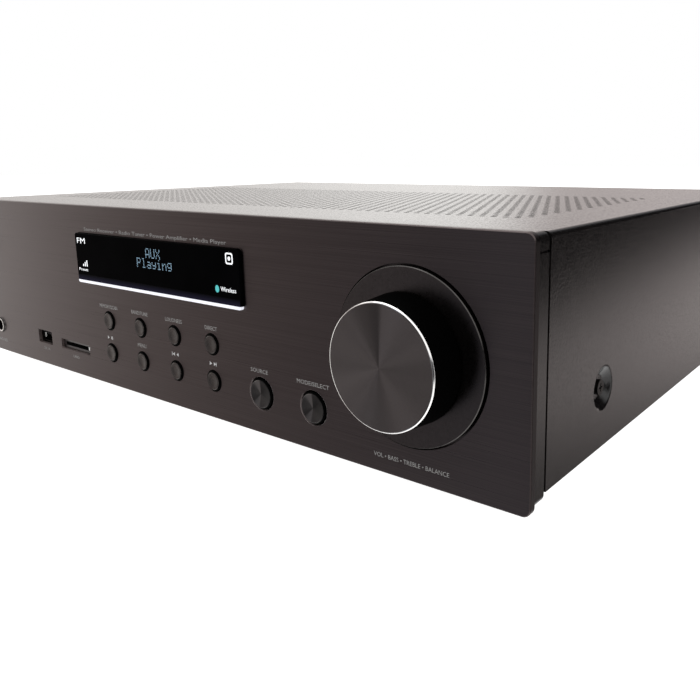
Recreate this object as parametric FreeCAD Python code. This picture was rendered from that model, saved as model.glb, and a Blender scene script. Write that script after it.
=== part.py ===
"""Stereo receiver: a folded-steel cabinet behind a brushed front plate, with a large volume knob.

Frame: +X right, +Y to the rear, +Z up. The front faces -Y. The origin is on the shelf, under the
middle of the whole receiver. Inside this script a place is given as (x, depth, height): depth is
measured back from the front plate's face and height up from the front plate's bottom edge.
"""

import FreeCAD, Part
import math
import os

from FreeCAD import Vector

# ---- driving dimensions, mm -------------------------------------------------------------------
PLATE_W, PLATE_H, PLATE_T = 430.0, 98.5, 3.0     # front plate, the usual 17 inch hi-fi width
PLATE_CORNER_R = 3.5
PLATE_EDGE = 0.4                                 # bevel round the plate's face
FOOT_CLEAR = 10.5                                # shelf to the front plate's bottom edge
BODY_D = 309.0                                   # plate's face to the cover's rear edge
REAR_REACH = 15.1                                # speaker terminals behind the cover
KNOB_REACH = 16.9                                # knob's face in front of the plate

SHEET = 1.0                                      # cabinet steel
COVER_HALF_W, COVER_TOP, COVER_BOTTOM = 214.0, 97.7, 4.8
RIM_END_D, COVER_FRONT = 11.3, 13.0              # a dark seam parts the frame's rim from the cover
COVER_BEND_R = 2.0
REAR_PANEL_D = 306.8                             # inner face of the rear panel
REAR_FACE_D = REAR_PANEL_D + 1.2

KEY_X = [-40.1 + 29.1 * column for column in range(4)]
KEY_ROWS = {"upper": 36.8, "lower": 18.9}
KEY_FACE_R, KEY_R, KEY_HOLE_R, KEY_REACH = 4.2, 5.0, 5.4, 1.0
SELECTORS = {"source_button": (80.5, 19.0), "mode_button": (112.8, 19.0), "standby_button": (-172.0, 69.8)}
SELECTOR_FACE_R, SELECTOR_R, SELECTOR_HOLE_R, SELECTOR_REACH = 6.4, 7.0, 7.4, 0.9
SELECTOR_BEVEL = 0.45                            # bright bevel cut round each selector hole
BUTTON_TRAVEL = 0.8
STEM_END_D = 12.2                                # where a released button's stem stops
SWITCH_FRONT_D = STEM_END_D + BUTTON_TRAVEL + 0.2

KNOB_X, KNOB_H = 163.1, 49.15
KNOB_FACE_R, KNOB_BEVEL, KNOB_BASE_R = 24.0, 1.2, 25.2
DISC_R, DISC_PROUD, DISC_OPENING_R = 34.6, 1.33, 35.5
SHAFT_R, SHAFT_BORE_R = 3.0, 3.06

DISPLAY_X0, DISPLAY_X1 = -64.8, 71.7
DISPLAY_BOTTOM, BAR_TOP, DISPLAY_TOP = 56.2, 58.3, 83.5
DISPLAY_PROUD, DISPLAY_BACK_D = 1.7, 1.3

USB_X, USB_H, USB_W, USB_TALL = -114.2, 17.15, 16.1, 8.1
CARD_X, CARD_H, CARD_W, CARD_TALL = -79.4, 16.35, 31.2, 5.7
PHONES_X, PHONES_H, PHONES_BORE_R = -172.0, 17.2, 3.2

DIMPLE_DEPTHS = (62.8, 250.0)                    # cover screws along each side
DIMPLE_H, DIMPLE_SINK = 29.9, 3.0
# The dish round a side screw: radius, and how far the sheet has sunk there.
DIMPLE_CURVE = ((9.8, 0.0), (9.2, 0.1), (8.6, 0.42), (8.0, 0.95), (5.9, 2.45), (5.4, 2.85), (4.8, 3.0))
PANEL_SCREW_X, PANEL_SCREW_H = (-190.0, -60.0, 60.0, 190.0), 11.0
LIP_SCREW_X, LIP_SCREW_H = (-190.0, 0.0, 190.0), 90.5
FOOT_X, FOOT_DEPTHS = 165.0, (50.0, 262.0)
FOOT_TOP_R, FOOT_BASE_R = 20.0, 18.5

BOARD_D, BOARD_T = 17.0, 1.6                     # front circuit board
MAIN_BOARD_H = 14.0                              # underside of the main circuit board

SPEAKER_X, SPEAKER_H = (-80.0, -50.0), (38.0, 62.0)
RCA_X, RCA_H = (62.0, 80.0, 98.0, 116.0), (40.0, 62.0)
ANTENNA_X, ANTENNA_H = 170.0, 60.0
INLET_X, INLET_H = -175.0, 50.0
ROCKER_X, ROCKER_H = -132.0, 50.0
ROCKER_TILT = 8.0                                # degrees either side of level

FACE_Y = -(KNOB_REACH + BODY_D + REAR_REACH) / 2 + KNOB_REACH


# ---- shape helpers ----------------------------------------------------------------------------
def at(x, depth, height):
    return Vector(x, FACE_Y + depth, FOOT_CLEAR + height)


def block(x0, x1, d0, d1, h0, h1):
    return Part.makeBox(x1 - x0, d1 - d0, h1 - h0, at(x0, d0, h0))


def rod(x, height, radius, d0, d1):
    """A cylinder running front to back."""
    return Part.makeCylinder(radius, d1 - d0, at(x, d0, height), Vector(0, 1, 0))


def post(x, depth, radius, h0, h1):
    """An upright cylinder."""
    return Part.makeCylinder(radius, h1 - h0, at(x, depth, h0), Vector(0, 0, 1))


def rounded(x0, x1, d0, d1, h0, h1, radius):
    """A block whose four front-to-back edges are rounded."""
    body = block(x0, x1, d0, d1, h0, h1)
    edges = [e for e in body.Edges if abs(e.Vertexes[0].Y - e.Vertexes[1].Y) > 1e-6]
    return body.makeFillet(radius, edges)


def turned(x, height, profile):
    """A solid of revolution about a front-to-back axis, from (radius, depth) points."""
    points = [at(x + r, d, height) for r, d in profile]
    face = Part.Face(Part.makePolygon(points + points[:1]))
    return face.revolve(at(x, 0, height), Vector(0, 1, 0), 360)


def turned_upright(x, depth, profile):
    """A solid of revolution about an upright axis, from (radius, height) points."""
    points = [at(x + r, depth, h) for r, h in profile]
    face = Part.Face(Part.makePolygon(points + points[:1]))
    return face.revolve(at(x, depth, 0), Vector(0, 0, 1), 360)


def turned_sideways(depth, height, profile):
    """A solid of revolution about a left-to-right axis, from (x, radius) points."""
    points = [at(x, depth, height + r) for x, r in profile]
    face = Part.Face(Part.makePolygon(points + points[:1]))
    return face.revolve(at(0, depth, height), Vector(1, 0, 0), 360)


def fused(shapes):
    body = shapes[0]
    for shape in shapes[1:]:
        body = body.fuse(shape)
    return body.removeSplitter()


def cut_all(body, tools):
    return body.cut(Part.makeCompound(tools))


def save(node, shape):
    shape.exportStep("parts/" + node + ".step")


def save_group(node, shapes):
    save(node, Part.makeCompound(shapes))


def key_places():
    for row, height in KEY_ROWS.items():
        for column, x in enumerate(KEY_X, start=1):
            yield "key_" + row + "_" + str(column), x, height


# ---- front ------------------------------------------------------------------------------------
def front_plate():
    plate = rounded(-PLATE_W / 2, PLATE_W / 2, 0, PLATE_T, 0, PLATE_H, PLATE_CORNER_R)
    face_edges = [e for e in plate.Edges if all(abs(v.Y - FACE_Y) < 1e-6 for v in e.Vertexes)]
    plate = plate.makeChamfer(PLATE_EDGE, face_edges)
    through = (-1, PLATE_T + 1)
    gap = 0.15
    tools = [rounded(DISPLAY_X0 - gap, DISPLAY_X1 + gap, *through, DISPLAY_BOTTOM - gap, DISPLAY_TOP + gap, 1.5)]
    tools += [rod(x, height, KEY_HOLE_R, *through) for _, x, height in key_places()]
    for x, height in SELECTORS.values():
        mouth = Part.makeCone(SELECTOR_HOLE_R + SELECTOR_BEVEL, SELECTOR_HOLE_R, SELECTOR_BEVEL,
                              at(x, 0, height), Vector(0, 1, 0))
        tools.append(rod(x, height, SELECTOR_HOLE_R, *through).fuse(mouth))
    tools.append(rod(KNOB_X, KNOB_H, DISC_OPENING_R, *through))
    for x, height, width, tall in ((USB_X, USB_H, USB_W, USB_TALL), (CARD_X, CARD_H, CARD_W, CARD_TALL)):
        tools.append(rounded(x - width / 2, x + width / 2, *through, height - tall / 2, height + tall / 2, 0.6))
    tools.append(rod(PHONES_X, PHONES_H, 4.8, *through))
    save("front_plate", cut_all(plate, tools))


def front_frame():
    """Moulded frame behind the plate: a visible rim, a lip inside the cover and two webs."""
    rim = rounded(-214.2, 214.2, PLATE_T, RIM_END_D, 1.6, 97.9, 3.0)
    lip = rounded(-212.6, 212.6, RIM_END_D, BOARD_D, 6.2, 96.2, 2.0)
    frame = rim.fuse(lip).cut(block(-205, 205, 0, 20, 9.6, 91))
    for side in (-1, 1):
        x0, x1 = sorted((side * 213.4, side * 215.0))
        frame = frame.cut(block(x0, x1, 4.2, RIM_END_D + 1, 91.0, 91.8))
    webs = [block(x, x + 4, 6, BOARD_D, 9.6, 91) for x in (-145.0, 120.5)]
    save("front_frame", fused([frame] + webs))


def button_carrier():
    """Guide plate that keeps every front button's stem straight."""
    plate = block(-56, 119.5, 8.0, 9.5, 11, 46)
    spacers = [rod(x, height, 2.0, PLATE_T, 8.0) for x, height in ((-54, 28), (63, 28), (96, 28), (116, 36))]
    tools = [rod(x, height, 2.3, 7, 11) for _, x, height in key_places()]
    tools += [rod(x, height, 3.3, 7, 11) for x, height in list(SELECTORS.values())[:2]]
    save("button_carrier", cut_all(fused([plate] + spacers), tools))


def buttons():
    for node, x, height in key_places():
        profile = [(0, -KEY_REACH), (KEY_FACE_R - 0.3, -KEY_REACH), (KEY_FACE_R, -KEY_REACH + 0.2), (KEY_R, -0.1),
                   (KEY_R, 3.3), (6.4, 3.3), (6.4, 4.3), (2.0, 4.3), (2.0, STEM_END_D), (0, STEM_END_D)]
        save(node, turned(x, height, profile))
    for node, (x, height) in SELECTORS.items():
        profile = [(0, -SELECTOR_REACH), (SELECTOR_FACE_R - 0.3, -SELECTOR_REACH),
                   (SELECTOR_FACE_R, -SELECTOR_REACH + 0.2), (SELECTOR_R, 0), (SELECTOR_R, 3.3), (8.6, 3.3),
                   (8.6, 4.5), (3.0, 4.5), (3.0, STEM_END_D), (0, STEM_END_D)]
        save(node, turned(x, height, profile))


def knob_group():
    knob = turned(KNOB_X, KNOB_H, [
        (0, -KNOB_REACH), (KNOB_FACE_R - KNOB_BEVEL, -KNOB_REACH), (KNOB_FACE_R, -KNOB_REACH + KNOB_BEVEL),
        (KNOB_BASE_R, -1.9), (22.5, -1.9), (21.5, -13.4), (6.5, -13.4), (6.5, -2.2), (SHAFT_R, -2.2),
        (SHAFT_R, -13.4), (0, -13.4)])
    save("volume_knob", knob)
    save("volume_shaft", rod(KNOB_X, KNOB_H, SHAFT_R, -13.4, 12.0))
    disc = turned(KNOB_X, KNOB_H, [
        (4.6, -DISC_PROUD), (33.2, -DISC_PROUD), (33.5, -1.05), (33.8, -DISC_PROUD), (DISC_R - 0.3, -DISC_PROUD),
        (DISC_R, -DISC_PROUD + 0.3), (DISC_R, PLATE_T), (37.5, PLATE_T), (37.5, 4.2), (4.6, 4.2)])
    save("knob_escutcheon", disc)
    bush = rod(KNOB_X, KNOB_H, 4.5, -0.6, 5.0)
    case = block(KNOB_X - 8, KNOB_X + 8, 5.0, BOARD_D, KNOB_H - 8, KNOB_H + 8)
    save("volume_encoder", bush.fuse(case).cut(rod(KNOB_X, KNOB_H, SHAFT_BORE_R, -2, 14)))


def display_group():
    window = rounded(DISPLAY_X0, DISPLAY_X1, -DISPLAY_PROUD, DISPLAY_BACK_D, DISPLAY_BOTTOM, DISPLAY_TOP, 1.4)
    lower = block(DISPLAY_X0, DISPLAY_X1, -DISPLAY_PROUD, DISPLAY_BACK_D, DISPLAY_BOTTOM, BAR_TOP)
    save("display_window", window.cut(lower))
    save("display_light_bar", window.common(lower))
    glass = block(-58, 65, DISPLAY_BACK_D + 0.1, 4.6, 61, 81)
    board = block(-66, 73, 4.6, 6.2, 54, 87)
    save("display_module", glass.fuse(board))


def front_sockets():
    shell = block(USB_X - 7.55, USB_X + 7.55, 0.6, BOARD_D, USB_H - 3.65, USB_H + 3.65)
    save("usb_shell", shell.cut(block(USB_X - 6.3, USB_X + 6.3, 0, 15.5, USB_H - 2.6, USB_H + 2.6)))
    save("usb_tongue", block(USB_X - 5.55, USB_X + 5.55, 2.5, 15.5, USB_H + 0.3, USB_H + 2.1))
    case = block(CARD_X - 15.3, CARD_X + 15.3, 0.4, BOARD_D, CARD_H - 2.6, CARD_H + 2.6)
    save("card_slot", case.cut(block(CARD_X - 13.5, CARD_X + 13.5, 0, 15.5, CARD_H - 2.3, CARD_H + 2.3)))
    barrel = rod(PHONES_X, PHONES_H, 4.6, -0.8, PLATE_T)
    body = block(PHONES_X - 7.5, PHONES_X + 7.5, PLATE_T, 31, PHONES_H - 7.5, PHONES_H + 7.5)
    save("headphone_jack", barrel.fuse(body).cut(rod(PHONES_X, PHONES_H, PHONES_BORE_R, -2, 27)))


def front_electronics():
    board = block(-190, 188, BOARD_D, BOARD_D + BOARD_T, 8, 92.5)
    save("front_board", board.cut(block(-181, -163, 16, 20, 7, 27)))
    places = [(x, height) for _, x, height in key_places()] + list(SELECTORS.values())
    save_group("tact_switches", [block(x - 3, x + 3, SWITCH_FRONT_D, BOARD_D, h - 3, h + 3) for x, h in places])
    ribbon = [block(-10, 20, 18.6, 62, 40, 41), block(-10, 20, 62, 63, 15.6, 41)]
    save("ribbon_cable", fused(ribbon))


# ---- cabinet ----------------------------------------------------------------------------------
def screw_dish(side, depth):
    """The pressed seat of one side screw, with soft edges, its clearance hole through the middle."""
    outside = [(side * (COVER_HALF_W - sink), r) for r, sink in DIMPLE_CURVE]
    outside.append((side * (COVER_HALF_W - DIMPLE_SINK), 2.0))
    inside = [(x - side * SHEET, r) for x, r in reversed(outside)]
    return turned_sideways(depth, DIMPLE_H, outside + inside)


def top_cover():
    """One folded sheet: top, two sides, a lip down the rear edge and a dished seat for each screw."""
    outer = rounded(-COVER_HALF_W, COVER_HALF_W, COVER_FRONT, BODY_D, -20, COVER_TOP, COVER_BEND_R)
    inner = rounded(-COVER_HALF_W + SHEET, COVER_HALF_W - SHEET, COVER_FRONT - 1, BODY_D - SHEET,
                    -22, COVER_TOP - SHEET, COVER_BEND_R - SHEET)
    sheet = outer.cut(inner).cut(block(-250, 250, 0, 320, -30, COVER_BOTTOM))
    sheet = sheet.cut(block(-COVER_HALF_W + SHEET, COVER_HALF_W - SHEET, 300, 320, 0, 84))
    edge_r = DIMPLE_CURVE[0][0]
    for side in (-1, 1):
        for depth in DIMPLE_DEPTHS:
            hole = turned_sideways(depth, DIMPLE_H, [(side * 205, 0), (side * 205, edge_r),
                                                     (side * 220, edge_r), (side * 220, 0)])
            sheet = sheet.cut(hole).fuse(screw_dish(side, depth))
    lip_holes = [rod(x, LIP_SCREW_H, 1.5, 300, 315) for x in LIP_SCREW_X]
    save("top_cover", cut_all(sheet.removeSplitter(), lip_holes))


def base_tray():
    """Folded base: a floor with cooling slots, two side flanges and a rear flange."""
    floor = block(-212.7, 212.7, RIM_END_D + 0.4, REAR_PANEL_D, COVER_BOTTOM, COVER_BOTTOM + SHEET)
    flanges = [block(-209.8, -208.8, 18, 304, 4.8, 42), block(208.8, 209.8, 18, 304, 4.8, 42),
               block(-205, 205, REAR_PANEL_D - SHEET, REAR_PANEL_D, 4.8, 18)]
    slots = [block(x - 22, x + 22, depth - 1.5, depth + 1.5, 0, 10)
             for x in (-80, 0, 80) for depth in range(110, 211, 20)]
    foot_holes = [post(x, depth, 1.9, 0, 10) for x, depth in foot_places()]
    side_holes = [turned_sideways(depth, DIMPLE_H, [(side * 200, 0), (side * 200, 2.0), (side * 215, 2.0),
                                                    (side * 215, 0)])
                  for side in (-1, 1) for depth in DIMPLE_DEPTHS]
    panel_holes = [rod(x, PANEL_SCREW_H, 1.5, 300, 310) for x in PANEL_SCREW_X]
    save("base_tray", cut_all(fused([floor] + flanges), slots + foot_holes + side_holes + panel_holes))


def rear_panel():
    panel = block(-212.7, 212.7, REAR_PANEL_D, REAR_FACE_D, 5.2, 96.3)
    through = (300, 315)
    tools = [rod(x, h, 4.2, *through) for x in SPEAKER_X for h in SPEAKER_H]
    tools += [rod(x, h, 4.7, *through) for x in RCA_X for h in RCA_H]
    tools.append(rod(ANTENNA_X, ANTENNA_H, 5.0, *through))
    tools.append(block(INLET_X - 13.6, INLET_X + 13.6, *through, INLET_H - 10, INLET_H + 10))
    tools.append(block(ROCKER_X - 6.6, ROCKER_X + 6.6, *through, ROCKER_H - 10.8, ROCKER_H + 10.8))
    tools += [rod(x, PANEL_SCREW_H, 1.5, *through) for x in PANEL_SCREW_X]
    tools += [rod(x, LIP_SCREW_H, 1.5, *through) for x in LIP_SCREW_X]
    save("rear_panel", cut_all(panel, tools))


def foot_places():
    for side in (-1, 1):
        for depth in FOOT_DEPTHS:
            yield side * FOOT_X, depth


def feet():
    names = ("foot_front_left", "foot_rear_left", "foot_front_right", "foot_rear_right")
    for node, (x, depth) in zip(names, foot_places()):
        low = -FOOT_CLEAR
        profile = [(1.9, COVER_BOTTOM), (FOOT_TOP_R, COVER_BOTTOM), (FOOT_TOP_R, COVER_BOTTOM - 3),
                   (FOOT_BASE_R, low + 1), (FOOT_BASE_R - 1, low), (6.0, low), (6.0, -3.0), (1.9, -3.0)]
        save(node, turned_upright(x, depth, profile))


def pan_screw(tip, outward, shank_r, length, head_r, head_t):
    """A pan-head screw with a cross slot; tip is the point under its head, outward is towards the head."""
    head = Part.makeCylinder(head_r, head_t, tip, outward)
    shank = Part.makeCylinder(shank_r, length, tip, outward * -1)
    screw = head.fuse(shank)
    across = Vector(outward.y, outward.z, outward.x)
    up = outward.cross(across)
    top = tip + outward * (head_t - 0.8)
    for long_way, short_way in ((across, up), (up, across)):
        corner = top - long_way * (head_r * 0.55) - short_way * 0.35
        edges = [corner, corner + long_way * (head_r * 1.1),
                 corner + long_way * (head_r * 1.1) + short_way * 0.7, corner + short_way * 0.7]
        screw = screw.cut(Part.Face(Part.makePolygon(edges + edges[:1])).extrude(outward * 2))
    return screw


def screws():
    floor_x = COVER_HALF_W - DIMPLE_SINK
    save_group("side_screws", [pan_screw(at(side * floor_x, depth, DIMPLE_H), Vector(side, 0, 0), 2.0, 5.0, 3.2, 1.9)
                               for side in (-1, 1) for depth in DIMPLE_DEPTHS])
    back = Vector(0, 1, 0)
    panel = [pan_screw(at(x, REAR_FACE_D, PANEL_SCREW_H), back, 1.5, 6.0, 3.0, 1.8) for x in PANEL_SCREW_X]
    lip = [pan_screw(at(x, BODY_D, LIP_SCREW_H), back, 1.5, 6.0, 3.0, 1.8) for x in LIP_SCREW_X]
    save_group("rear_screws", panel + lip)
    down = Vector(0, 0, -1)
    save_group("foot_screws", [pan_screw(at(x, depth, -3.0), down, 1.9, 12.0, 4.5, 2.4)
                               for x, depth in foot_places()])


# ---- inside -----------------------------------------------------------------------------------
def electronics():
    board_top = MAIN_BOARD_H + 1.6
    save("main_board", block(-70, 195, 60, 290, MAIN_BOARD_H, board_top))
    save_group("board_standoffs", [post(x, d, 3.0, COVER_BOTTOM + SHEET, MAIN_BOARD_H)
                                   for x in (-64, 60, 188) for d in (66, 284)])
    ring = post(-135, 130, 50, 6.8, 50).cut(post(-135, 130, 14, 0, 60))
    save("toroidal_transformer", ring.makeFillet(6.0, [e for e in ring.Edges if e.Length > 200]))
    bolt = post(-135, 130, 3.0, 5.8, 55)
    save("transformer_clamp", fused([bolt, post(-135, 130, 26, 50, 52), post(-135, 130, 24, 5.8, 6.8)]))
    fins = [block(x, x + 2, 112, 150, board_top, 80) for x in range(22, 159, 8)]
    save("heatsink", fused([block(20, 162, 106, 112, board_top, 80)] + fins))
    save_group("power_transistors", [block(x - 8, x + 8, 101, 106, 26, 46) for x in (40, 72, 110, 142)])
    tall = [post(-42, d, 15, board_top, 56) for d in (120, 156)]
    short = [post(x, 80, 5, board_top, 32) for x in (-50, -30, 90, 110, 130, 150)]
    save_group("reservoir_capacitors", tall + short)
    save("wireless_module", block(168, 190, 70, 100, board_top, 19.5))
    save("tuner_module", block(152, 188, 288, REAR_PANEL_D, 35, 80))


# ---- rear connections -------------------------------------------------------------------------
def speaker_terminals():
    x_mid, h_mid = sum(SPEAKER_X) / 2, sum(SPEAKER_H) / 2
    places = [(x, h) for x in SPEAKER_X for h in SPEAKER_H]
    plate = rounded(x_mid - 29, x_mid + 29, REAR_FACE_D, 311, h_mid - 25, h_mid + 25, 3.0)
    sleeves = [rod(x, h, 4.2, 300, REAR_FACE_D) for x, h in places]
    save("speaker_terminal_plate", cut_all(fused([plate] + sleeves), [rod(x, h, 3.0, 295, 320) for x, h in places]))
    stud = [rod(x, h, 3.0, 296, 323.8).cut(rod(x, h, 2.05, 306, 325)) for x, h in places]
    save_group("speaker_studs", stud)
    end = BODY_D + REAR_REACH
    for index, (x, h) in enumerate(places, start=1):
        cap = turned(x, h, [(SHAFT_BORE_R, 311.4), (6.6, 311.4), (7.5, 313.0), (7.5, end - 1.0), (6.5, end),
                            (SHAFT_BORE_R, end)])
        flutes = []
        for step in range(12):
            angle = math.radians(step * 30)
            flutes.append(rod(x + 8.1 * math.cos(angle), h + 8.1 * math.sin(angle), 1.1, 313.4, end + 1))
        save("speaker_cap_" + str(index), cut_all(cap, flutes))


def line_sockets():
    places = [(x, h) for x in RCA_X for h in RCA_H]
    holder = block(RCA_X[0] - 9, RCA_X[-1] + 9, 292, REAR_PANEL_D, RCA_H[0] - 10, RCA_H[1] + 10)
    cores = [turned(x, h, [(1.65, REAR_PANEL_D), (3.4, REAR_PANEL_D), (3.4, 316), (1.65, 316)]) for x, h in places]
    save("line_socket_block", fused([holder] + cores))
    save_group("line_socket_shells", [
        turned(x, h, [(3.4, REAR_PANEL_D), (4.6, REAR_PANEL_D), (4.6, 309), (4.15, 309), (4.15, 317.5), (3.4, 317.5)])
        for x, h in places])
    save("antenna_socket", turned(ANTENNA_X, ANTENNA_H, [
        (1.2, REAR_PANEL_D), (4.9, REAR_PANEL_D), (4.9, 310), (6.3, 310), (6.3, 311.5), (4.75, 311.5),
        (4.75, 320.5), (1.2, 320.5)]))


def mains():
    flange = rounded(INLET_X - 16, INLET_X + 16, REAR_FACE_D, 310, INLET_H - 12.5, INLET_H + 12.5, 2.0)
    body = block(INLET_X - 13.4, INLET_X + 13.4, 288, REAR_FACE_D, INLET_H - 9.8, INLET_H + 9.8)
    socket = rounded(INLET_X - 12.0, INLET_X + 12.0, 294, 312, INLET_H - 8.2, INLET_H + 8.2, 2.0)
    save("mains_inlet", flange.fuse(body).cut(socket))
    pins = [block(x - 1, x + 1, 294, 305, h - 2, h + 2)
            for x, h in ((INLET_X - 7, INLET_H - 2), (INLET_X, INLET_H + 2), (INLET_X + 7, INLET_H - 2))]
    save_group("mains_pins", pins)
    frame = rounded(ROCKER_X - 8.5, ROCKER_X + 8.5, REAR_FACE_D, 310, ROCKER_H - 13, ROCKER_H + 13, 1.5)
    case = block(ROCKER_X - 6.4, ROCKER_X + 6.4, 290, REAR_FACE_D, ROCKER_H - 10.6, ROCKER_H + 10.6)
    well = block(ROCKER_X - 5.2, ROCKER_X + 5.2, 296, 312, ROCKER_H - 9.4, ROCKER_H + 9.4)
    pivot = Vector(ROCKER_X - 5.2, FACE_Y + 304, FOOT_CLEAR + ROCKER_H)
    pin = Part.makeCylinder(1.2, 10.4, pivot, Vector(1, 0, 0))
    save("switch_housing", frame.fuse(case).cut(well).fuse(pin))
    outline = [(4.6, 0), (5.8, 8.2), (1.5, 8.2), (-2.5, 4), (-2.5, -4), (1.5, -8.2), (5.8, -8.2)]
    points = [at(ROCKER_X - 4.8, 304 + d, ROCKER_H + h) for d, h in outline]
    rocker = Part.Face(Part.makePolygon(points + points[:1])).extrude(Vector(9.6, 0, 0))
    rocker = rocker.cut(Part.makeCylinder(1.25, 12, pivot - Vector(1, 0, 0), Vector(1, 0, 0)))
    rocker.rotate(pivot, Vector(1, 0, 0), -ROCKER_TILT)
    save("power_rocker", rocker)


def main():
    os.makedirs("parts", exist_ok=True)
    front_plate()
    front_frame()
    button_carrier()
    buttons()
    knob_group()
    display_group()
    front_sockets()
    front_electronics()
    top_cover()
    base_tray()
    rear_panel()
    feet()
    screws()
    electronics()
    speaker_terminals()
    line_sockets()
    mains()


main()
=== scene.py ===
"""The looks of the stereo receiver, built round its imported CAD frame."""
import math

import bmesh
import bpy
from mathutils import Matrix, Vector


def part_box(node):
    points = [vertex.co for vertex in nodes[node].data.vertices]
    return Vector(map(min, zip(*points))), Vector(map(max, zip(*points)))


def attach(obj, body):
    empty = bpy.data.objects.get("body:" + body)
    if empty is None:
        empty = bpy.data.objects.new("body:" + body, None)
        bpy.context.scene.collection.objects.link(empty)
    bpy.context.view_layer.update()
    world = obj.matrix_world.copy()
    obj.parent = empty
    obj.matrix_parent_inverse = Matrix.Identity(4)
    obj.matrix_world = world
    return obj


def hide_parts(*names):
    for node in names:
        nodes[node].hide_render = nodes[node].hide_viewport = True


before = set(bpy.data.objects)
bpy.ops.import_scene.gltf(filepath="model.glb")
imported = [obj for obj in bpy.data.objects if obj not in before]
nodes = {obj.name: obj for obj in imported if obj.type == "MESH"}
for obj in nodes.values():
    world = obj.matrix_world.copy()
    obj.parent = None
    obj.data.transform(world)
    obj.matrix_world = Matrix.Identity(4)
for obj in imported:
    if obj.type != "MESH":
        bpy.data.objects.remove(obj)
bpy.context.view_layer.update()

MM = 0.001
PLATE_LOW, PLATE_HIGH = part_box("front_plate")
COVER_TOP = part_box("top_cover")[1].z
CABINET = "cabinet"

KEY_COLUMNS = 4
KEY_ROWS = ("upper", "lower")
SELECTORS = ("source_button", "mode_button", "standby_button")


# ---- places ----
def at(x, depth, height):
    """A point in metres, from millimetres right, behind the plate's face and above its bottom edge."""
    return Vector((x * MM, PLATE_LOW.y + depth * MM, PLATE_LOW.z + height * MM))


def depth_mm(y):
    """Millimetres behind the plate's face, from a y in metres."""
    return (y - PLATE_LOW.y) / MM


def height_mm(z):
    """Millimetres above the plate's bottom edge, from a z in metres."""
    return (z - PLATE_LOW.z) / MM


def centre(node):
    """(x, height) in millimetres of the middle of a front or rear piece."""
    low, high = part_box(node)
    return (low.x + high.x) / 2 / MM, height_mm((low.z + high.z) / 2)


def box_mm(node):
    """A node's left, right, bottom, top, front and back in millimetres."""
    low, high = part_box(node)
    return low.x / MM, high.x / MM, height_mm(low.z), height_mm(high.z), depth_mm(low.y), depth_mm(high.y)


def key_nodes():
    for row in KEY_ROWS:
        for column in range(1, KEY_COLUMNS + 1):
            yield "key_" + row + "_" + str(column)


# ---- materials ----
NOISE_LOW, NOISE_HIGH = 0.3, 0.7  # most of a noise pattern lies between these
# How deep the bump patterns are.
LINE_DEPTH, RING_DEPTH, SPECKLE_DEPTH, GRAIN_DEPTH = 0.04 * MM, 0.03 * MM, 0.06 * MM, 0.10 * MM
END_FADE = (0.5, 0.1)  # millimetres from the plate's ends, where painted shade turns it dark
END_PAINTED_SHADE = (0.34, 0.33, 0.34)


class Surface:
    """A node-based material round one Principled shader."""

    def __init__(self, name, **sockets):
        self.material = bpy.data.materials.new(name)
        self.material.use_nodes = True
        self.tree = self.material.node_tree
        self.shader = self.tree.nodes["Principled BSDF"]
        for socket, value in sockets.items():
            self.shader.inputs[socket.replace("_", " ")].default_value = value

    def add(self, kind, **values):
        node = self.tree.nodes.new(kind)
        for name, value in values.items():
            setattr(node, name, value)
        return node

    def link(self, source, target):
        self.tree.links.new(source, target)

    def coordinates(self, stretch):
        place = self.add("ShaderNodeTexCoord")
        mapping = self.add("ShaderNodeMapping")
        mapping.inputs["Scale"].default_value = stretch
        self.link(place.outputs["Object"], mapping.inputs["Vector"])
        return mapping.outputs["Vector"]

    def noise(self, scale, detail, stretch=(1, 1, 1), roughness=0.5):
        node = self.add("ShaderNodeTexNoise")
        node.inputs["Scale"].default_value = scale
        node.inputs["Detail"].default_value = detail
        node.inputs["Roughness"].default_value = roughness
        self.link(self.coordinates(stretch), node.inputs["Vector"])
        return node.outputs["Fac"]

    def cells(self, scale):
        node = self.add("ShaderNodeTexVoronoi", feature="SMOOTH_F1")
        node.inputs["Scale"].default_value = scale
        self.link(self.coordinates((1, 1, 1)), node.inputs["Vector"])
        return node.outputs["Distance"]

    def parts(self, vector):
        """The X, Y and Z of a vector, by name."""
        node = self.add("ShaderNodeSeparateXYZ")
        self.link(vector, node.inputs["Vector"])
        return node.outputs

    def spread(self, value, low, high, start=NOISE_LOW, end=NOISE_HIGH):
        """value, which runs from start to end, taken to the range low to high."""
        node = self.add("ShaderNodeMapRange")
        for socket, number in zip(("From Min", "From Max", "To Min", "To Max"), (start, end, low, high)):
            node.inputs[socket].default_value = number
        self.link(value, node.inputs["Value"])
        return node.outputs["Result"]

    def ramp(self, value, stops, interpolation="LINEAR"):
        """The colour for value on a ramp of (position, colour) stops."""
        node = self.add("ShaderNodeValToRGB")
        node.color_ramp.interpolation = interpolation
        elements = node.color_ramp.elements
        while len(elements) < len(stops):
            elements.new(0.5)
        for element, (position, colour) in zip(elements, stops):
            element.position = position
            element.color = (*colour, 1)
        self.link(value, node.inputs["Fac"])
        return node.outputs["Color"]

    def blend_colours(self, value, dark, light, start=NOISE_LOW, end=NOISE_HIGH):
        return self.ramp(value, ((start, dark), (end, light)))

    def colour(self, value, dark, light):
        self.link(self.blend_colours(value, dark, light), self.shader.inputs["Base Color"])

    def emit(self, colour, strength):
        self.link(colour, self.shader.inputs["Emission Color"])
        self.shader.inputs["Emission Strength"].default_value = strength

    def roughness(self, value, low, high):
        self.link(self.spread(value, low, high), self.shader.inputs["Roughness"])

    def relief(self, value, strength, depth):
        node = self.add("ShaderNodeBump")
        node.inputs["Strength"].default_value = strength
        node.inputs["Distance"].default_value = depth
        self.link(value, node.inputs["Height"])
        self.link(node.outputs["Normal"], self.shader.inputs["Normal"])


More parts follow.
